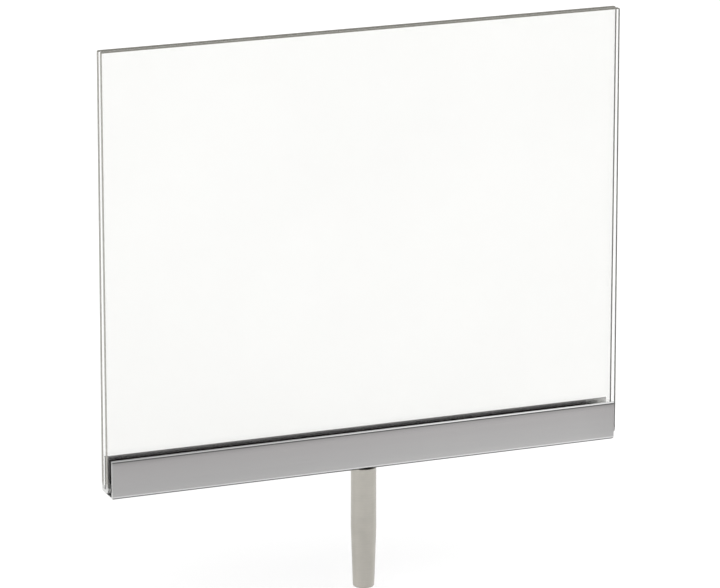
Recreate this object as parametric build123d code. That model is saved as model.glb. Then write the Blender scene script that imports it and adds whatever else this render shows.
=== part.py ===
from build123d import *
import os

# Clear guard panel standing in a metal base channel with a plug-in stem. Millimetres.
# X runs along the panel, -Y is the front, +Z is up.
# The origin is the centre of the stem's flat top face.

# Clear pocket: one sheet folded into a U, two leaves joined by a flat bottom
PANEL_WIDTH = 279.4          # 11 in
PANEL_HEIGHT = 223.0         # from the fold's underside to the leaves' top edges
SHEET = 2.0                  # thickness of the clear sheet
SPREAD_BOTTOM = 5.95         # between the leaves' middle planes, at the fold
SPREAD_TOP = 4.5             # the leaves lean together towards the top
FOLD_RADIUS = 2.4            # outside radius of the fold's two bends
LEAF_CORNER = 1.0            # rounding of each leaf's top corners
LEAF_EDGE = 0.2              # polished edge break around the leaves

# Base channel: bent sheet metal, open at the top and at both ends
CHANNEL_LENGTH = 275.8
CHANNEL_DEPTH = 12.0
CHANNEL_HEIGHT = 20.0
CHANNEL_WALL = 1.2
BEND_RADIUS = 1.5            # outside radius of the two bends
LIP_RADIUS = 0.5             # rounding of the walls' upper edges
END_CORNER = 1.2             # rounding of the lower corners at the channel's ends
CHANNEL_HOLE_RADIUS = 2.75

# Liner strips on the channel's walls and cushion strips on its floor
LINER = 0.7
LINER_TOP_DROP = 0.2         # the liners end this far below the channel's lip
LINER_FOOT = 1.9             # the liners start this far above the channel's floor
LINER_INSET = 2.1            # the liners start this far inside the left-hand end
LINER_SHORTFALL = 12.0       # and stop this far from the right-hand end
STRIP_EDGE = 0.2             # rounding of the strips' exposed edges
CUSHION = 1.5
CUSHION_DEPTH = 7.6
CUSHION_GAP = 12.0           # free length in the middle, around the screw head
CUSHION_END = 1.5            # the cushions stop this far inside the channel's ends

# Stem
STEM_RADIUS = 6.5
STEM_LENGTH = 63.5           # 2 1/2 in
STEM_STRAIGHT = 31.75        # straight length under the channel
STEM_TIP_RADIUS = 5.5        # radius at the lower end of the taper
STEM_END_ROUND = 1.2

# Fasteners
THREAD_GAP = 0.05            # radial gap that stands for each thread's fit
HOLE_SPARE = 2.0             # tapped holes go this much deeper than the thread
HOLE_CHAMFER = 0.4
SCREW_RADIUS = 2.45          # M5
SCREW_LENGTH = 14.0          # under the head
SCREW_HEAD_RADIUS = 3.9
SCREW_HEAD = 0.7
SCREW_HEAD_EDGE = 0.3
RECESS_DEPTH = 1.3
RECESS_SPAN = 4.4            # across the cross recess
RECESS_SLOT = 1.1
WASHER = 0.4
WASHER_RADIUS = 4.3
WASHER_HOLE_RADIUS = 2.65
WASHER_NOTCHES = 12
NOTCH_DEPTH = 0.8
NOTCH_WIDTH = 0.9
STUD_ROOT_RADIUS = 2.45      # M5, the end inside the stem
STUD_RADIUS = 1.95           # M4, the free end
STUD_OUT = 8.0               # how far the stud stands out of the stem
STUD_IN = 10.0               # how deep it is screwed in
STUD_POINT = 0.6             # chamfer at the stud's free end

# Levels and half widths worked out from the sizes above
CHANNEL_BOTTOM = 0.0         # the channel sits on the stem's top face
FLOOR = CHANNEL_BOTTOM + CHANNEL_WALL
SCREW_SEAT = FLOOR + WASHER
LIP = CHANNEL_BOTTOM + CHANNEL_HEIGHT
PANEL_BOTTOM = FLOOR + CUSHION
PANEL_TOP = PANEL_BOTTOM + PANEL_HEIGHT
OUTER_HALF = CHANNEL_DEPTH / 2
INNER_HALF = OUTER_HALF - CHANNEL_WALL
STEM_END = -STEM_LENGTH
NEAR = 0.01                  # tolerance for picking vertices and edges by position

STAND = (Align.CENTER, Align.CENTER, Align.MIN)


def bar(width, depth, height, x=0.0, y=0.0, z=0.0):
    """A box centred on (x, y) that stands on z."""
    return Pos(x, y, z) * Box(width, depth, height, align=STAND)


def rod(radius, length, z=0.0):
    """A round bar on the Z axis that stands on z."""
    return Pos(0, 0, z) * Cylinder(radius, length, align=STAND)


def u_profile(outer_foot, outer_head, wall, bottom, top):
    """A U in the YZ plane from half widths at its foot and head, open at the top."""
    inner_foot = outer_foot - wall
    inner_head = outer_head - wall
    outline = Polyline(
        (-outer_head, top), (-outer_foot, bottom), (outer_foot, bottom), (outer_head, top),
        (inner_head, top), (inner_foot, bottom + wall), (-inner_foot, bottom + wall), (-inner_head, top),
        close=True)
    return make_face(outline)


def round_bends(profile, outer_radius, wall, bottom):
    """Round a U profile's two bends, outside and inside."""
    outside = profile.vertices().filter_by_position(Axis.Y, bottom - NEAR, bottom + NEAR)
    profile = fillet(outside, radius=outer_radius)
    inner_level = bottom + wall
    inside = profile.vertices().filter_by_position(Axis.Y, inner_level - NEAR, inner_level + NEAR)
    return fillet(inside, radius=outer_radius - wall)


def run_along_x(profile, length):
    """Extrude a YZ profile along X, centred on X = 0."""
    return extrude(Plane.YZ * profile, amount=length / 2, both=True)


def make_clear_pocket():
    """The folded clear sheet: two leaves that lean together and a flat fold between them."""
    foot = (SPREAD_BOTTOM + SHEET) / 2
    head = (SPREAD_TOP + SHEET) / 2
    profile = u_profile(foot, head, SHEET, PANEL_BOTTOM, PANEL_TOP)
    pocket = run_along_x(round_bends(profile, FOLD_RADIUS, SHEET, PANEL_BOTTOM), PANEL_WIDTH)
    end_edges = [pocket.edges().filter_by_position(Axis.X, end - NEAR, end + NEAR)
                 for end in (-PANEL_WIDTH / 2, PANEL_WIDTH / 2)]
    corners = [edge for edges in end_edges
               for edge in edges.filter_by_position(Axis.Z, PANEL_TOP - NEAR, PANEL_TOP + NEAR)]
    pocket = fillet(corners, radius=LEAF_CORNER)
    flat_limit = PANEL_WIDTH / 2 - LEAF_CORNER - NEAR
    rim = pocket.edges().filter_by(lambda edge: is_rim(edge, flat_limit))
    return chamfer(rim, length=LEAF_EDGE)


def is_rim(edge, flat_limit):
    """True for the sharp edges around the leaves: their ends, rounded corners and tops."""
    middle = edge.position_at(0.5)
    crosses_sheet = abs(edge.tangent_at(0.5).Y) > 0.9 and middle.Z > PANEL_BOTTOM + FOLD_RADIUS
    on_end = abs(middle.X) > flat_limit
    on_top = middle.Z > PANEL_TOP - NEAR
    return (on_end or on_top) and not crosses_sheet


def make_base_channel():
    """The bent channel with rounded lips, rounded end corners and the screw's hole."""
    profile = u_profile(OUTER_HALF, OUTER_HALF, CHANNEL_WALL, CHANNEL_BOTTOM, LIP)
    profile = round_bends(profile, BEND_RADIUS, CHANNEL_WALL, CHANNEL_BOTTOM)
    lips = profile.vertices().filter_by_position(Axis.Y, LIP - NEAR, LIP + NEAR)
    channel = run_along_x(fillet(lips, radius=LIP_RADIUS), CHANNEL_LENGTH)
    front_view = Pos(0, CHANNEL_BOTTOM + CHANNEL_HEIGHT / 2) * Rectangle(CHANNEL_LENGTH, CHANNEL_HEIGHT)
    lower = front_view.vertices().sort_by(Axis.Y)[:2]
    front_view = fillet(lower, radius=END_CORNER)
    channel &= extrude(Plane.XZ * front_view, amount=CHANNEL_DEPTH, both=True)
    return channel - rod(CHANNEL_HOLE_RADIUS, CHANNEL_WALL, CHANNEL_BOTTOM)


def make_liner(side):
    """A strip on the front wall (side -1) or the rear wall (side 1)."""
    height = LIP - LINER_TOP_DROP - FLOOR - LINER_FOOT
    length = CHANNEL_LENGTH - LINER_INSET - LINER_SHORTFALL
    x = (LINER_INSET - LINER_SHORTFALL) / 2
    y = side * (INNER_HALF - LINER / 2)
    strip = bar(length, LINER, height, x, y, FLOOR + LINER_FOOT)
    face_towards_panel = strip.faces().sort_by(Axis.Y)[0 if side > 0 else -1]
    return fillet(face_towards_panel.edges().filter_by(Axis.X), radius=STRIP_EDGE)


def make_cushion(side):
    """The cushion strip left (side -1) or right (side 1) of the screw head."""
    length = CHANNEL_LENGTH / 2 - CUSHION_END - CUSHION_GAP / 2
    x = side * (CUSHION_GAP + length) / 2
    strip = bar(length, CUSHION_DEPTH, CUSHION, x, z=FLOOR)
    return fillet(strip.faces().sort_by(Axis.Z)[-1].edges(), radius=STRIP_EDGE)


def make_stem():
    """The turned stem: straight, then tapered, tapped at both ends."""
    outline = make_face(Polyline(
        (0, 0), (STEM_RADIUS, 0), (STEM_RADIUS, -STEM_STRAIGHT), (STEM_TIP_RADIUS, STEM_END),
        (0, STEM_END), close=True))
    end_corner = outline.vertices().sort_by(Axis.Y)[:2].sort_by(Axis.X)[-1]
    stem = revolve(Plane.XZ * fillet(end_corner, radius=STEM_END_ROUND), Axis.Z)
    screw_depth = SCREW_LENGTH - SCREW_SEAT + HOLE_SPARE
    stem -= rod(SCREW_RADIUS + THREAD_GAP, screw_depth, -screw_depth)
    stem -= rod(STUD_ROOT_RADIUS + THREAD_GAP, STUD_IN + HOLE_SPARE, STEM_END)
    mouth = stem.faces().sort_by(Axis.Z)[-1].edges().sort_by(SortBy.RADIUS)[0]
    return chamfer(mouth, length=HOLE_CHAMFER)


def make_stem_screw():
    """A wafer-head machine screw with a cross recess, its head on the lock washer."""
    head = rod(SCREW_HEAD_RADIUS, SCREW_HEAD, SCREW_SEAT)
    head = fillet(head.edges().sort_by(Axis.Z)[-1], radius=SCREW_HEAD_EDGE)
    screw = head + rod(SCREW_RADIUS, SCREW_LENGTH, SCREW_SEAT - SCREW_LENGTH)
    for width, depth in ((RECESS_SPAN, RECESS_SLOT), (RECESS_SLOT, RECESS_SPAN)):
        screw -= bar(width, depth, RECESS_DEPTH, z=SCREW_SEAT + SCREW_HEAD - RECESS_DEPTH)
    return screw


def make_lock_washer():
    """A toothed lock washer between the channel's floor and the screw's head."""
    washer = rod(WASHER_RADIUS, WASHER, FLOOR) - rod(WASHER_HOLE_RADIUS, WASHER, FLOOR)
    notch = bar(2 * NOTCH_DEPTH, NOTCH_WIDTH, WASHER, x=WASHER_RADIUS, z=FLOOR)
    for index in range(WASHER_NOTCHES):
        washer -= Rot(0, 0, 360 / WASHER_NOTCHES * index) * notch
    return washer


def make_draw_stud():
    """The stepped stud in the stem's lower end, chamfered at its free end."""
    stud = rod(STUD_ROOT_RADIUS, STUD_IN, STEM_END) + rod(STUD_RADIUS, STUD_OUT, STEM_END - STUD_OUT)
    return chamfer(stud.edges().sort_by(Axis.Z)[0], length=STUD_POINT)


PARTS = {
    "clear_pocket": make_clear_pocket(),
    "base_channel": make_base_channel(),
    "front_liner": make_liner(-1),
    "rear_liner": make_liner(1),
    "cushion_strip_left": make_cushion(-1),
    "cushion_strip_right": make_cushion(1),
    "stem": make_stem(),
    "stem_screw": make_stem_screw(),
    "lock_washer": make_lock_washer(),
    "draw_stud": make_draw_stud(),
}

os.makedirs("parts", exist_ok=True)
for name, shape in PARTS.items():
    export_step(shape, f"parts/{name}.step")
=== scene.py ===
import math

import bmesh
import bpy
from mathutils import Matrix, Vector


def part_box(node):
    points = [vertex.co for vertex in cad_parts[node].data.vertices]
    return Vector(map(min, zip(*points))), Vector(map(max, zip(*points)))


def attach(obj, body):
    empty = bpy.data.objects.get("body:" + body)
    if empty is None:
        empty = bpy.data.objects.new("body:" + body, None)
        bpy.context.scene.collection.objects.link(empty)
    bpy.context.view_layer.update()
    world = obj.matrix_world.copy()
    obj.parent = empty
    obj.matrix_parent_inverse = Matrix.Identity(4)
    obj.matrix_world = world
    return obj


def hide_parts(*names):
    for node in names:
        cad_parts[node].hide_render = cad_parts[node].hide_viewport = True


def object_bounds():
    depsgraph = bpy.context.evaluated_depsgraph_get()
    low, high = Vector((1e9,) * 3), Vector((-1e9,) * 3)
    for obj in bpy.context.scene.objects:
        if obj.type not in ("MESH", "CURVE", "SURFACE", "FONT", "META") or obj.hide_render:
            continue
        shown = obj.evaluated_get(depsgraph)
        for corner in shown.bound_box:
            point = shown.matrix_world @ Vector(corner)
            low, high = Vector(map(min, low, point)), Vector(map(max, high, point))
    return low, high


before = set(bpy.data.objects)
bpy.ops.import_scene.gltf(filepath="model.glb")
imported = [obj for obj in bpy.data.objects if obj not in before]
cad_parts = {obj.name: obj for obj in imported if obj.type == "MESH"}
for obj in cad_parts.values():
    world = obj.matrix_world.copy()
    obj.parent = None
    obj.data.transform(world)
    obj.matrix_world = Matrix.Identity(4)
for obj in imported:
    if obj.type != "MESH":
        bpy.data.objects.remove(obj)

# The clear guard panel, its base channel and its stem, in metres, built around the CAD frame.
# X runs along the panel, -Y is the front, +Z is up, and the stem's axis is the Z axis.

MM = 0.001
CAD_BOX = [list(corner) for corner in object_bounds()]

# The camera stands in front of the left end, a little above the panel
VIEW_AZIMUTH = -23.35
VIEW_ELEVATION = 14.52
VIEW_DISTANCE = 2.527
LENS = 252.0
SENSOR = 36.0
AIM = Vector((-1.95, 0.0, 13.05)) * MM   # from the middle of the CAD box
NEAR_CLIP = 0.1
FAR_CLIP = 60.0

# The studio is white, and its ceiling darker than its walls and floor
STUDIO_STRENGTH = 1.2
CEILING = 0.22
CEILING_FROM = 0.40                      # as the height of the direction looked in
CEILING_FULL = 0.75
FLOOR_WHITE = 0.99
FLOOR_RADIUS = 14.0
FLOOR_GAP = 0.5 * MM                     # between the object's lowest point and the floor

# Clear sheet
SHEET = 2.0 * MM
FOLD_RADIUS = 2.4 * MM
LEAF_SPREAD_TOP = 4.5 * MM               # between the leaves' middle planes
LEAF_CORNER = 1.0 * MM
CORNER_ROWS = (0.75, 1.0, 1.4)           # rows of points round the corners, as shares of the rounding
END_BREAK = 0.18 * MM
TOP_BREAK = 0.40 * MM                    # the leaves' top edges are polished rounder
END_HAZE_AND_SHADE = 0.30 * MM                     # saw haze, in the edges' partly painted grey, on the leaves' faces beside their ends
TOP_HAZE_AND_SHADE = 0.60 * MM                     # and below their top edges
MILKY_END = (2.6 * MM, 5.4 * MM)         # above the fold, where the left end turns from milky to grey
MILKY_CLIMB = 10.0 * MM                  # how much higher it does so at the right end, as painted light where the wall's end shades the sheet
ACRYLIC_IOR = 1.49
# The edges' greys are partly the cut acrylic's own tone and partly painted shade for the dark
# surroundings seen in the clear edges; the tops' darker greys are a painted reflection of the darker
# ceiling
END_GREYS = ((0.31, 0.304, 0.282), (0.39, 0.382, 0.355))
TOP_GREYS = ((0.20, 0.196, 0.176), (0.26, 0.255, 0.230))

# Bent metal
CHANNEL_WALL = 1.2 * MM
BEND_RADIUS = 1.5 * MM
LIP_RADIUS = 0.5 * MM
END_CORNER = 1.2 * MM
DEBURR = 0.15 * MM
CHANNEL_HOLE_RADIUS = 2.75 * MM
LIP_START = (0.968, 0.976)               # where the wall turns into the lip, as shares of the height
LIP_MIDDLE = (0.87, 0.90)                # where its painted-shade dark inner half ends, as shares of the half depth

# Both bent pieces
BEND_STEPS = 14                          # steps of points along a bend
BEND_SUPPORT = 0.6 * MM                  # from a bend to the first row of points on the flat faces
EDGE_STEPS = 4                           # and round a rounded edge
END_ZONE = 3.0 * MM                      # the ends' rounded corners are cut within this length
SPANS = 12                               # between the two end zones

# Turned parts and fasteners
STEM_STRAIGHT = 31.75 * MM
STEM_TIP_RADIUS = 5.5 * MM
STEM_END_ROUND = 1.2 * MM
STEM_TOP_BREAK = 0.25 * MM
HOLE_MOUTH = 0.4 * MM
SCREW_HOLE = (2.5 * MM, 14.4 * MM)       # radius and depth
STUD_HOLE = (2.5 * MM, 12.0 * MM)
STUD_CREST = 1.95 * MM
STUD_THREAD_DEPTH = 0.42 * MM
STUD_PITCH = 0.7 * MM
STUD_TIP_CHAMFER = 0.15 * MM
STUD_TOP_CHAMFER = 0.3 * MM
THREAD_ROWS = 12                         # rows of points in one turn of the thread
THREAD_RUNOUT = 0.05                     # share of the thread's depth left at its upper end
TURNED_SEGMENTS = 128
STUD_SEGMENTS = 48
HOLE_SEGMENTS = 64

# Sockets of Blender's mix node, for colours and for plain values
COLOUR_A, COLOUR_B, COLOUR_OUT = 6, 7, 2
VALUE_A, VALUE_B, VALUE_OUT = 2, 3, 0


# ---------------------------------------------------------------- camera, floor and light

def make_camera():
    """A long lens at the object's front left, aimed near the middle of the CAD box."""
    low, high = (Vector(corner) for corner in CAD_BOX)
    aim = (low + high) / 2 + AIM
    azimuth = math.radians(VIEW_AZIMUTH)
    elevation = math.radians(VIEW_ELEVATION)
    back = Vector((math.sin(azimuth) * math.cos(elevation),
                   -math.cos(azimuth) * math.cos(elevation),
                   math.sin(elevation)))
    camera = bpy.data.objects.new("camera", bpy.data.cameras.new("camera"))
    bpy.context.scene.collection.objects.link(camera)
    camera.data.lens = LENS
    camera.data.sensor_width = SENSOR
    camera.data.clip_start = NEAR_CLIP
    camera.data.clip_end = FAR_CLIP
    camera.location = aim + back * VIEW_DISTANCE
    camera.rotation_mode = "QUATERNION"
    camera.rotation_quaternion = (-back).to_track_quat("-Z", "Y")
    bpy.context.scene.camera = camera


def make_floor():
    """A wide pale floor just under the stem's lower end."""
    mesh = bpy.data.meshes.new("floor")
    floor = bpy.data.objects.new("floor", mesh)
    bpy.context.scene.collection.objects.link(floor)
    disc = bmesh.new()
    bmesh.ops.create_circle(disc, cap_ends=True, segments=96, radius=FLOOR_RADIUS)
    disc.to_mesh(mesh)
    disc.free()
    floor.location.z = CAD_BOX[0][2] - FLOOR_GAP
    material, shader, _ = new_material("floor_pale")
    shader.inputs["Base Color"].default_value = (FLOOR_WHITE, FLOOR_WHITE, FLOOR_WHITE, 1)
    shader.inputs["Roughness"].default_value = 0.9
    shader.inputs["Specular IOR Level"].default_value = 0.0
    mesh.materials.append(material)


def make_world():
    """Diffuse light comes evenly from all round; reflections see the darker ceiling."""
    world = bpy.data.worlds.new("studio")
    bpy.context.scene.world = world
    world.use_nodes = True
    nodes = world.node_tree.nodes
    links = world.node_tree.links
    direction = nodes.new("ShaderNodeTexCoord")
    split = nodes.new("ShaderNodeSeparateXYZ")
    sky = nodes.new("ShaderNodeValToRGB")
    sky.color_ramp.elements[0].position = CEILING_FROM
    sky.color_ramp.elements[0].color = (1, 1, 1, 1)
    sky.color_ramp.elements[1].position = CEILING_FULL
    sky.color_ramp.elements[1].color = (CEILING, CEILING, CEILING, 1)
    paths = nodes.new("ShaderNodeLightPath")
    mix = nodes.new("ShaderNodeMix")
    mix.data_type = "RGBA"
    mix.inputs[COLOUR_B].default_value = (1, 1, 1, 1)
    background = nodes["Background"]
    background.inputs["Strength"].default_value = STUDIO_STRENGTH
    links.new(direction.outputs["Generated"], split.inputs["Vector"])
    links.new(split.outputs["Z"], sky.inputs["Fac"])
    links.new(paths.outputs["Is Diffuse Ray"], mix.inputs["Factor"])
    links.new(sky.outputs["Color"], mix.inputs[COLOUR_A])
    links.new(mix.outputs[COLOUR_OUT], background.inputs["Color"])


# ---------------------------------------------------------------- materials

def new_material(name):
    """A node material: returns it, its Principled shader and a helper that adds nodes."""
    material = bpy.data.materials.new(name)
    material.use_nodes = True
    tree = material.node_tree
    shader = tree.nodes["Principled BSDF"]

    def add(kind, **settings):
        node = tree.nodes.new(kind)
        for key, value in settings.items():
            if key in node.inputs:
                node.inputs[key].default_value = value
            else:
                setattr(node, key, value)
        return node

    return material, shader, add


def join(material, *pairs):
    """Link pairs of (output socket, input socket)."""
    for output, socket in pairs:
        material.node_tree.links.new(output, socket)


def stretched_noise(material, add, stretch, scale=1.0, detail=3.0):
    """Noise in object space, stretched along each axis by the given factors."""
    place = add("ShaderNodeTexCoord")
    mapping = add("ShaderNodeMapping", Scale=stretch)
    noise = add("ShaderNodeTexNoise", Scale=scale, Detail=detail)
    join(material, (place.outputs["Object"], mapping.inputs["Vector"]),
         (mapping.outputs["Vector"], noise.inputs["Vector"]))
    return noise.outputs["Fac"]


def ramp(material, add, factor, stops):
    """A colour ramp over the factor; stops are (position, grey or colour)."""
    node = add("ShaderNodeValToRGB")
    elements = node.color_ramp.elements
    while len(elements) < len(stops):
        elements.new(0.5)
    for element, (position, colour) in zip(elements, stops):
        element.position = position
        rgb = (colour,) * 3 if isinstance(colour, float) else colour
        element.color = (*rgb, 1)
    join(material, (factor, node.inputs["Fac"]))
    return node.outputs["Color"]


def bump(material, shader, add, height, strength, distance):
    """Bump from a height socket into the shader."""
    node = add("ShaderNodeBump", Strength=strength, Distance=distance)
    join(material, (height, node.inputs["Height"]), (node.outputs["Normal"], shader.inputs["Normal"]))


def spread(material, add, factor, low, high):
    """A value that runs from low to high as the factor runs from 0 to 1."""
    span = add("ShaderNodeMapRange")
    span.inputs["To Min"].default_value = low
    span.inputs["To Max"].default_value = high
    join(material, (factor, span.inputs["Value"]))
    return span.outputs["Result"]


def multiply(material, add, first, second):
    """The product of two colour sockets."""
    node = add("ShaderNodeMix", data_type="RGBA", blend_type="MULTIPLY")
    node.inputs["Factor"].default_value = 1.0
    join(material, (first, node.inputs[COLOUR_A]), (second, node.inputs[COLOUR_B]))
    return node.outputs[COLOUR_OUT]


def axis_factor(material, add, axis, low, high):
    """0 at the object-space coordinate low, 1 at high."""
    place = add("ShaderNodeTexCoord")
    split = add("ShaderNodeSeparateXYZ")
    span = add("ShaderNodeMapRange")
    span.clamp = False
    span.inputs["From Min"].default_value = low
    span.inputs["From Max"].default_value = high
    join(material, (place.outputs["Object"], split.inputs["Vector"]),
         (split.outputs[axis], span.inputs["Value"]))
    return span.outputs["Result"]


def clear_acrylic():
    """Clear sheet with a faint warm tint."""
    material, shader, add = new_material("acrylic_clear")
    tint = ramp(material, add, stretched_noise(material, add, (1, 1, 1), scale=9.0, detail=2.0),
                [(0.3, (0.904, 0.904, 0.896)), (0.7, (0.913, 0.913, 0.905))])
    join(material, (tint, shader.inputs["Base Color"]))
    shader.inputs["Roughness"].default_value = 0.0
    shader.inputs["IOR"].default_value = ACRYLIC_IOR
    shader.inputs["Transmission Weight"].default_value = 1.0
    return material


def acrylic_edge(name, greys, low, high, gloss):
    """The sheet's cut edges: grey with fine saw marks, the grey partly painted shade, milky beside the
    heat-bent fold and higher up at the right end as painted light.
    """
    material, shader, add = new_material(name)
    marks = stretched_noise(material, add, (900, 60, 900), detail=4.0)
    dark, light = greys
    grey = ramp(material, add, marks, [(0.3, dark), (0.7, light)])
    milky = ramp(material, add, marks, [(0.3, (0.60, 0.60, 0.59)), (0.7, (0.70, 0.70, 0.69))])
    start, end = MILKY_END
    rise = axis_factor(material, add, "Z", low.z + start, low.z + end)
    along = axis_factor(material, add, "X", low.x, high.x)
    # painted light: the milky zone rises higher towards the right end
    climb = add("ShaderNodeMath", operation="MULTIPLY_ADD")
    climb.inputs[1].default_value = -MILKY_CLIMB / (end - start)
    mix = add("ShaderNodeMix", data_type="RGBA", clamp_factor=True)
    join(material, (along, climb.inputs[0]), (rise, climb.inputs[2]),
         (climb.outputs[0], mix.inputs["Factor"]), (milky, mix.inputs[COLOUR_A]),
         (grey, mix.inputs[COLOUR_B]), (mix.outputs[COLOUR_OUT], shader.inputs["Base Color"]))
    shader.inputs["Roughness"].default_value = 0.55
    shader.inputs["IOR"].default_value = ACRYLIC_IOR
    shader.inputs["Specular IOR Level"].default_value = gloss
    bump(material, shader, add, marks, strength=0.15, distance=0.05 * MM)
    return material


def hazy_fold():
    """Clear sheet with the faint milky haze of a heat-bent fold."""
    material, shader, add = new_material("acrylic_fold")
    cloud = stretched_noise(material, add, (0.2, 1, 1), scale=700.0)
    tint = ramp(material, add, cloud, [(0.3, (0.86, 0.86, 0.85)), (0.7, (0.93, 0.93, 0.92))])
    clarity = spread(material, add, cloud, 0.65, 0.85)
    join(material, (tint, shader.inputs["Base Color"]), (clarity, shader.inputs["Transmission Weight"]))
    shader.inputs["Roughness"].default_value = 0.3
    shader.inputs["IOR"].default_value = ACRYLIC_IOR
    return material


def satin_chrome(low, high):
    """Fine long grain along X, with painted light: painted highlights on the lips and the bottom bend,
    painted shade below the bend, up the wall, in a line under the lips and a little towards the ends.
    """
    material, shader, add = new_material("satin_chrome")
    grain = stretched_noise(material, add, (4, 900, 900), detail=5.0)
    rise = axis_factor(material, add, "Z", low.z, high.z)
    lip_from, lip_full = LIP_START
    # painted shade at the foot of the bend, then a painted highlight along the bend
    bottom_bend = [(0.0, 0.14), (0.042, 0.17), (0.052, 0.70), (0.070, 0.70)]
    # painted shade: the flat wall darkens towards the top
    flat_wall = [(0.086, (0.435, 0.43, 0.43)), (0.25, (0.405, 0.40, 0.40)), (0.78, (0.388, 0.378, 0.378)),
                 (0.85, (0.365, 0.355, 0.355)), (0.931, (0.31, 0.30, 0.30))]
    # painted shade: a dark line just under the lips
    under_lip = [(0.942, 0.12), (lip_from, 0.12)]
    # the lips get a painted highlight
    wall = ramp(material, add, rise, bottom_bend + flat_wall + under_lip + [(lip_full, 0.95)])
    # painted shade: the walls are a little darker towards both ends, most at the left
    along = ramp(material, add, axis_factor(material, add, "X", low.x, high.x),
                 [(0.05, 0.92), (0.65, 1.0), (0.93, 1.0), (1.0, 0.94)])
    streaks = ramp(material, add, grain, [(0.3, 0.95), (0.7, 1.0)])
    colour = multiply(material, add, multiply(material, add, wall, along), streaks)
    # the lips' painted shade is multiplied into the wall colour
    lip_painted_light = multiply(material, add, colour, lip_shade(material, add, rise, low, high))
    join(material, (lip_painted_light, shader.inputs["Base Color"]))
    # the lips are less metallic, so their painted highlight shows as colour
    metal = ramp(material, add, rise, [(0.0, 1.0), (lip_from, 1.0), (lip_full, 0.35)])
    rough = spread(material, add, grain, 0.20, 0.30)
    join(material, (metal, shader.inputs["Metallic"]), (rough, shader.inputs["Roughness"]))
    bump(material, shader, add, grain, strength=0.08, distance=0.02 * MM)
    return material


def lip_shade(material, add, rise, low, high):
    """Painted shade: darkens the lips' inner halves, beside the liners, and the whole lips towards the
    left.
    """
    inner_end, outer_start = LIP_MIDDLE
    lip_from, lip_full = LIP_START
    across = add("ShaderNodeMath", operation="ABSOLUTE")
    span = axis_factor(material, add, "Y", 0.0, high.y)
    join(material, (span, across.inputs[0]))
    # painted shade on the lips' inner halves
    half = ramp(material, add, across.outputs[0], [(inner_end, 0.18), (outer_start, 1.0)])
    # painted shade on the whole lips, growing towards the left
    along = ramp(material, add, axis_factor(material, add, "X", low.x, high.x),
                 [(0.0, 0.50), (0.35, 0.62), (0.7, 0.95)])
    lip = multiply(material, add, half, along)
    on_lip = ramp(material, add, rise, [(lip_from, 0.0), (lip_full, 1.0)])
    mix = add("ShaderNodeMix", data_type="RGBA")
    mix.inputs[COLOUR_A].default_value = (1, 1, 1, 1)
    join(material, (on_lip, mix.inputs["Factor"]), (lip, mix.inputs[COLOUR_B]))
    return mix.outputs[COLOUR_OUT]


def bare_wall():
    """The walls' insides, a dull bright metal where the liners leave them bare."""
    material, shader, add = new_material("bare_wall")
    grain = stretched_noise(material, add, (8, 700, 700), detail=4.0)
    grey = ramp(material, add, grain, [(0.3, (0.84, 0.84, 0.83)), (0.7, (0.94, 0.94, 0.93))])
    join(material, (grey, shader.inputs["Base Color"]))
    shader.inputs["Metallic"].default_value = 0.6
    shader.inputs["Roughness"].default_value = 0.25
    bump(material, shader, add, grain, strength=0.08, distance=0.02 * MM)
    return material


def polished_edge(low, high):
    """The channel's bare sheared ends, with painted shade making them a little duller on the front wall.
    """
    material, shader, add = new_material("polished_edge")
    grain = stretched_noise(material, add, (30, 600, 600), detail=4.0)
    grey = ramp(material, add, grain, [(0.3, (0.86, 0.86, 0.85)), (0.7, (0.97, 0.97, 0.96))])
    # painted shade: the front wall's end darker than the rear's
    front_wall_shade = ramp(material, add, axis_factor(material, add, "Y", low.y, high.y), [(0.1, 0.70), (0.9, 1.0)])
    join(material, (multiply(material, add, grey, front_wall_shade), shader.inputs["Base Color"]))
    shader.inputs["Metallic"].default_value = 1.0
    shader.inputs["Roughness"].default_value = 0.12
    bump(material, shader, add, grain, strength=0.06, distance=0.02 * MM)
    return material


def turned_metal(name, dark, light, roughness, lines=2600.0):
    """Turned metal: fine rings round the axis and a soft mottle."""
    material, shader, add = new_material(name)
    rings = stretched_noise(material, add, (3, 3, lines), detail=4.0)
    mottle = stretched_noise(material, add, (1, 1, 1), scale=140.0)
    blend = add("ShaderNodeMix", data_type="FLOAT")
    blend.inputs["Factor"].default_value = 0.5
    join(material, (rings, blend.inputs[VALUE_A]), (mottle, blend.inputs[VALUE_B]))
    colour = ramp(material, add, blend.outputs[VALUE_OUT], [(0.35, dark), (0.65, light)])
    join(material, (colour, shader.inputs["Base Color"]))
    shader.inputs["Metallic"].default_value = 1.0
    shader.inputs["Roughness"].default_value = roughness
    bump(material, shader, add, rings, strength=0.1, distance=0.02 * MM)
    return material


def soft_black(name, dark, light, grain_scale, roughness):
    """Matt black foam or rubber with a fine pebbled surface."""
    material, shader, add = new_material(name)
    grain = stretched_noise(material, add, (1, 1, 1), scale=grain_scale, detail=5.0)
    colour = ramp(material, add, grain, [(0.35, dark), (0.65, light)])
    join(material, (colour, shader.inputs["Base Color"]))
    shader.inputs["Roughness"].default_value = roughness
    shader.inputs["Specular IOR Level"].default_value = 0.3
    bump(material, shader, add, grain, strength=0.4, distance=0.08 * MM)
    return material


# ---------------------------------------------------------------- mesh helpers

def add_object(name, vertices, faces, body):
    """A mesh object that rides on a CAD body, with its faces turned outwards."""
    mesh = bpy.data.meshes.new(name)
    mesh.from_pydata(vertices, [], faces)
    work = bmesh.new()
    work.from_mesh(mesh)
    bmesh.ops.remove_doubles(work, verts=work.verts, dist=1e-7)
    bmesh.ops.recalc_face_normals(work, faces=work.faces)
    work.to_mesh(mesh)
    work.free()
    piece = bpy.data.objects.new(name, mesh)
    bpy.context.scene.collection.objects.link(piece)
    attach(piece, body)
    return piece


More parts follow.
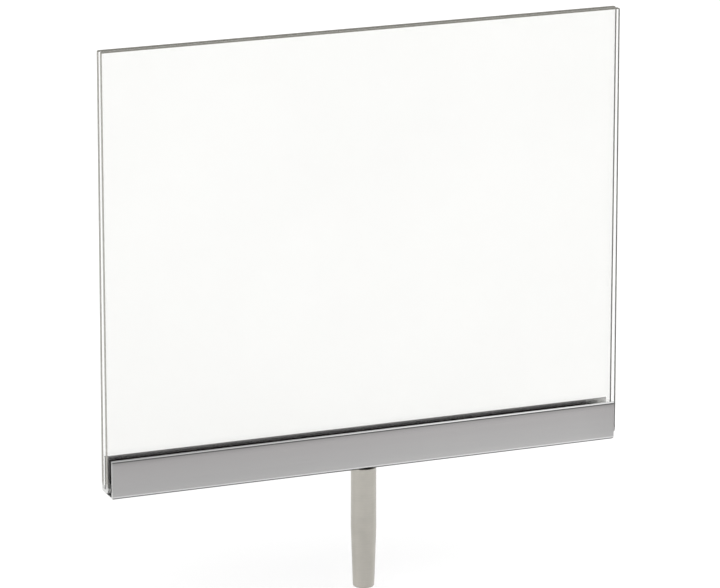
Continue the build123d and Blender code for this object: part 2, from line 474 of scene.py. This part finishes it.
def smooth(piece, sharp_angle):
    """Smooth shading that keeps edges sharper than the angle."""
    piece.data.shade_smooth()
    piece.data.set_sharp_from_angle(angle=math.radians(sharp_angle))


def arc(centre, radius, start, end, steps):
    """Points of an arc in a plane, angles in degrees."""
    turns = [math.radians(start + (end - start) * step / steps) for step in range(steps + 1)]
    return [(centre[0] + radius * math.cos(turn), centre[1] + radius * math.sin(turn)) for turn in turns]


def edge_rounding(radius, steps=EDGE_STEPS):
    """(distance from the end, inset of each face) along a rounded edge, from the end inwards."""
    quarter = [math.pi / 2 * step / steps for step in range(steps + 1)]
    return [(radius * (1 - math.cos(turn)), radius * (1 - math.sin(turn))) for turn in quarter]


def bent_sheet_pairs(foot, head, wall, bottom, top, bend, rim, levels):
    """(outer, inner) points in YZ along a sheet bent into a U, from the front top to the rear top.

    The levels are extra depths below the top where the walls get a row of points."""
    slope = (foot - head) / (top - bottom)
    side = []
    for depth, inset in edge_rounding(rim):
        level = top - depth
        half = head + slope * depth
        side.append(((half - inset, level), (half - wall + inset, level)))
    for level in [top - depth for depth in levels] + [bottom + bend + BEND_SUPPORT]:
        half = head + slope * (top - level)
        side.append(((half, level), (half - wall, level)))
    centre = (foot - bend, bottom + bend)
    outside = arc(centre, bend, 0, -90, BEND_STEPS)
    inside = arc(centre, bend - wall, 0, -90, BEND_STEPS)
    side += list(zip(outside, inside))
    on_floor = foot - bend - BEND_SUPPORT
    side.append(((on_floor, bottom), (on_floor, bottom + wall)))
    rear = [(outer, inner) for outer, inner in reversed(side)]
    front = [((-outer[0], outer[1]), (-inner[0], inner[1])) for outer, inner in side]
    return front + rear


def bent_sheet(name, pairs, half_length, end_break, margin, end_cut, body):
    """A bent sheet along X from its section's pairs, with a ring of points at the margin from each end.

    end_cut(z) shortens the ends for rounded corners."""
    breaks = edge_rounding(end_break)
    inner_half = half_length - END_ZONE
    left = [(-half_length + depth, inset) for depth, inset in breaks + [(margin, 0.0)]]
    middle = [(-inner_half + 2 * inner_half * span / SPANS, 0.0) for span in range(SPANS + 1)]
    right = [(-x, inset) for x, inset in reversed(left)]
    rings = left + middle + right
    count = len(pairs)
    vertices = []
    for x, inset in rings:
        share = max(0.0, (abs(x) - inner_half) / END_ZONE)
        loop = []
        for outer, inner in pairs:
            outer, inner = Vector(outer), Vector(inner)
            across = (inner - outer).normalized() * inset
            loop.append((outer + across, inner - across))
        for point in [pair[0] for pair in loop] + [pair[1] for pair in reversed(loop)]:
            cut = end_cut(point.y) * share
            vertices.append((x - math.copysign(cut, x), point.x, point.y))
    size = 2 * count
    faces = []
    for ring in range(len(rings) - 1):
        for i in range(size):
            j = (i + 1) % size
            a = ring * size
            b = a + size
            faces.append((a + i, a + j, b + j, b + i))
    for start in (0, (len(rings) - 1) * size):
        for i in range(count - 1):
            outer_a, outer_b = start + i, start + i + 1
            inner_a, inner_b = start + size - 1 - i, start + size - 2 - i
            faces.append((outer_a, outer_b, inner_b, inner_a))
    return add_object(name, vertices, faces, body)


def cut_round_hole(piece, radius, bottom, top, segments=HOLE_SEGMENTS):
    """Cut a hole round the Z axis through a piece."""
    mesh = bpy.data.meshes.new("cutter")
    cutter = bpy.data.objects.new("cutter", mesh)
    bpy.context.scene.collection.objects.link(cutter)
    work = bmesh.new()
    bmesh.ops.create_cone(work, cap_ends=True, segments=segments, radius1=radius, radius2=radius,
                          depth=(top - bottom) * 2)
    work.to_mesh(mesh)
    work.free()
    cutter.location.z = (top + bottom) / 2
    cut = piece.modifiers.new("hole", "BOOLEAN")
    cut.operation = "DIFFERENCE"
    cut.object = cutter
    bpy.context.view_layer.update()
    evaluated = piece.evaluated_get(bpy.context.evaluated_depsgraph_get())
    result = bpy.data.meshes.new_from_object(evaluated)
    piece.modifiers.clear()
    piece.data = result
    bpy.data.objects.remove(cutter)


def lathe(name, profile, body, segments=TURNED_SEGMENTS):
    """A turned solid round the Z axis from (radius, height) points that start and end on the axis."""
    vertices = []
    rings = []
    for radius, height in profile:
        if radius == 0:
            rings.append([len(vertices)])
            vertices.append((0.0, 0.0, height))
            continue
        rings.append([len(vertices) + i for i in range(segments)])
        vertices += [(radius * math.cos(math.tau * i / segments),
                      radius * math.sin(math.tau * i / segments), height) for i in range(segments)]
    faces = []
    for a, b in zip(rings, rings[1:]):
        for i in range(segments):
            j = (i + 1) % segments
            corners = [a[i % len(a)], a[j % len(a)], b[j % len(b)], b[i % len(b)]]
            face = list(dict.fromkeys(corners))
            if len(face) > 2:
                faces.append(face)
    return add_object(name, vertices, faces, body)


def threaded_stud(name, crest, depth, pitch, levels, root_radius, body, segments=STUD_SEGMENTS):
    """A stud with a helical V thread below and a plain thicker end above.

    The levels are the chamfered tip, the thread's upper end and the plain end's top."""
    tip, thread_end, top = levels
    valley = crest - depth
    vertices = []
    rings = []

    def ring(height, radius_at):
        rings.append([len(vertices) + i for i in range(segments)])
        for i in range(segments):
            radius = radius_at(i / segments)
            angle = math.tau * i / segments
            vertices.append((radius * math.cos(angle), radius * math.sin(angle), height))

    def thread_radius(height, share):
        wave = abs(((height - tip) / pitch - share) % 1.0 - 0.5) * 2
        limit = valley - STUD_TIP_CHAMFER + (height - tip)
        fade = min(1.0, (thread_end - height) / pitch + THREAD_RUNOUT)
        return min(limit, valley + depth * wave * fade)

    rows = round((thread_end - tip) / pitch * THREAD_ROWS)
    for row in range(rows + 1):
        height = tip + (thread_end - tip) * row / rows
        ring(height, lambda share, height=height: thread_radius(height, share))
    plain_end = [(thread_end, root_radius), (top - STUD_TOP_CHAMFER, root_radius), (top, valley)]
    for height, radius in plain_end:
        ring(height, lambda share, radius=radius: radius)
    faces = [rings[0][::-1], rings[-1]]
    for a, b in zip(rings, rings[1:]):
        for i in range(segments):
            j = (i + 1) % segments
            faces.append((a[i], a[j], b[j], b[i]))
    return add_object(name, vertices, faces, body)


# ---------------------------------------------------------------- pieces

def rounded_corner(distance, radius):
    """How far an outline draws back at a distance from its corner, for a rounded corner."""
    if distance >= radius:
        return 0.0
    return radius - math.sqrt(max(0.0, radius ** 2 - (radius - distance) ** 2))


def make_clear_pocket():
    """The folded clear sheet: clear faces, grey cut edges (their grey partly painted shade) and a hazy
    fold.
    """
    low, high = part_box("clear_pocket")
    foot = high.y
    head = (LEAF_SPREAD_TOP + SHEET) / 2
    corner_levels = [TOP_HAZE_AND_SHADE] + [LEAF_CORNER * share for share in CORNER_ROWS]
    pairs = bent_sheet_pairs(foot, head, SHEET, low.z, high.z, FOLD_RADIUS, TOP_BREAK, corner_levels)
    piece = bent_sheet("clear_sheet", pairs, high.x, END_BREAK, END_HAZE_AND_SHADE,
                       lambda z: rounded_corner(high.z - z, LEAF_CORNER), "panel")
    ends, tops, fold = 1, 2, 3
    finishes = [clear_acrylic(),
                acrylic_edge("acrylic_end", END_GREYS, low, high, gloss=0.15),
                acrylic_edge("acrylic_top", TOP_GREYS, low, high, gloss=0.0),
                hazy_fold()]
    for material in finishes:
        piece.data.materials.append(material)
    for face in piece.data.polygons:
        if face.center.z > high.z - TOP_HAZE_AND_SHADE:
            face.material_index = tops
        elif abs(face.center.x) > high.x - END_HAZE_AND_SHADE:
            face.material_index = ends
        elif face.center.z < low.z + FOLD_RADIUS + BEND_SUPPORT:
            face.material_index = fold
    smooth(piece, sharp_angle=25)
    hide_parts("clear_pocket")


def make_base_channel():
    """The bent channel: satin walls, bare sheared ends, dull insides."""
    low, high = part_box("base_channel")
    pairs = bent_sheet_pairs(high.y, high.y, CHANNEL_WALL, low.z, high.z, BEND_RADIUS, LIP_RADIUS,
                             [LIP_RADIUS * 2])
    piece = bent_sheet("bent_channel", pairs, high.x, DEBURR, 2 * DEBURR,
                       lambda z: rounded_corner(z - low.z, END_CORNER), "base")
    ends, insides = 1, 2
    for material in (satin_chrome(low, high), polished_edge(low, high), bare_wall()):
        piece.data.materials.append(material)
    inner_side = high.y - CHANNEL_WALL + DEBURR
    for face in piece.data.polygons:
        if abs(face.normal.x) > 0.3:
            face.material_index = ends
        elif abs(face.normal.y) > 0.7 and abs(face.center.y) < inner_side:
            face.material_index = insides
    cut_round_hole(piece, CHANNEL_HOLE_RADIUS, low.z, low.z + CHANNEL_WALL)
    smooth(piece, sharp_angle=25)
    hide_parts("base_channel")


def make_stem():
    """The turned stem with its tapped holes at both ends."""
    low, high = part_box("stem")
    radius = high.x
    screw_radius, screw_depth = SCREW_HOLE
    stud_radius, stud_depth = STUD_HOLE
    end_centre = (STEM_TIP_RADIUS - STEM_END_ROUND, low.z + STEM_END_ROUND)
    profile = [(0, high.z - screw_depth), (screw_radius, high.z - screw_depth),
               (screw_radius, high.z - HOLE_MOUTH), (screw_radius + HOLE_MOUTH, high.z),
               (radius - STEM_TOP_BREAK, high.z), (radius, high.z - STEM_TOP_BREAK)]
    straight_end = high.z - STEM_STRAIGHT
    profile += [(radius, high.z - STEM_STRAIGHT * share) for share in (0.25, 0.5, 0.75, 1.0)]
    taper_end = (STEM_TIP_RADIUS, low.z + STEM_END_ROUND)
    for share in (0.25, 0.5, 0.75):
        profile.append((radius + (taper_end[0] - radius) * share,
                        straight_end + (taper_end[1] - straight_end) * share))
    profile += arc(end_centre, STEM_END_ROUND, 0, -90, steps=10)
    profile += [(stud_radius + HOLE_MOUTH, low.z), (stud_radius, low.z + HOLE_MOUTH),
                (stud_radius, low.z + stud_depth), (0, low.z + stud_depth)]
    piece = lathe("turned_stem", profile, "base")
    piece.data.materials.append(turned_metal("satin_nickel", (0.40, 0.385, 0.35), (0.46, 0.44, 0.40),
                                             roughness=0.3))
    smooth(piece, sharp_angle=30)
    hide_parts("stem")


def make_draw_stud():
    """The stud under the stem: an M4 thread outside, the thicker end hidden in the stem."""
    low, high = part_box("draw_stud")
    stem_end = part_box("stem")[0].z
    piece = threaded_stud("threaded_stud", STUD_CREST, STUD_THREAD_DEPTH, STUD_PITCH,
                          (low.z, stem_end, high.z), high.x, "base")
    piece.data.materials.append(turned_metal("stud_steel", (0.40, 0.385, 0.35), (0.48, 0.46, 0.42),
                                             roughness=0.32, lines=2200.0))
    smooth(piece, sharp_angle=40)
    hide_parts("draw_stud")


def finish_cad_nodes():
    """Procedural finishes for the CAD nodes that stay."""
    liner = soft_black("black_liner", (0.055, 0.045, 0.046), (0.075, 0.065, 0.066),
                       grain_scale=2500.0, roughness=0.7)
    rubber = soft_black("black_rubber", (0.018, 0.018, 0.018), (0.035, 0.034, 0.034),
                        grain_scale=1600.0, roughness=0.6)
    zinc = turned_metal("zinc_plate", (0.50, 0.51, 0.50), (0.66, 0.66, 0.64), roughness=0.3, lines=900.0)
    # the lock washer's black is partly a black oxide finish, partly painted shade for the gap under the
    # channel
    oxide_and_gap_shade = turned_metal("black_oxide_and_gap_shade", (0.03, 0.03, 0.032), (0.07, 0.07, 0.072), roughness=0.45,
                         lines=900.0)
    finishes = {"front_liner": liner, "rear_liner": liner, "cushion_strip_left": rubber,
                "cushion_strip_right": rubber, "stem_screw": zinc, "lock_washer": oxide_and_gap_shade}
    for node, material in finishes.items():
        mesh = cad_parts[node].data
        mesh.materials.clear()
        mesh.materials.append(material)


# ---------------------------------------------------------------- the scene

bpy.context.scene.view_settings.view_transform = "Standard"
make_camera()
make_world()
make_floor()
make_clear_pocket()
make_base_channel()
make_stem()
make_draw_stud()
finish_cad_nodes()
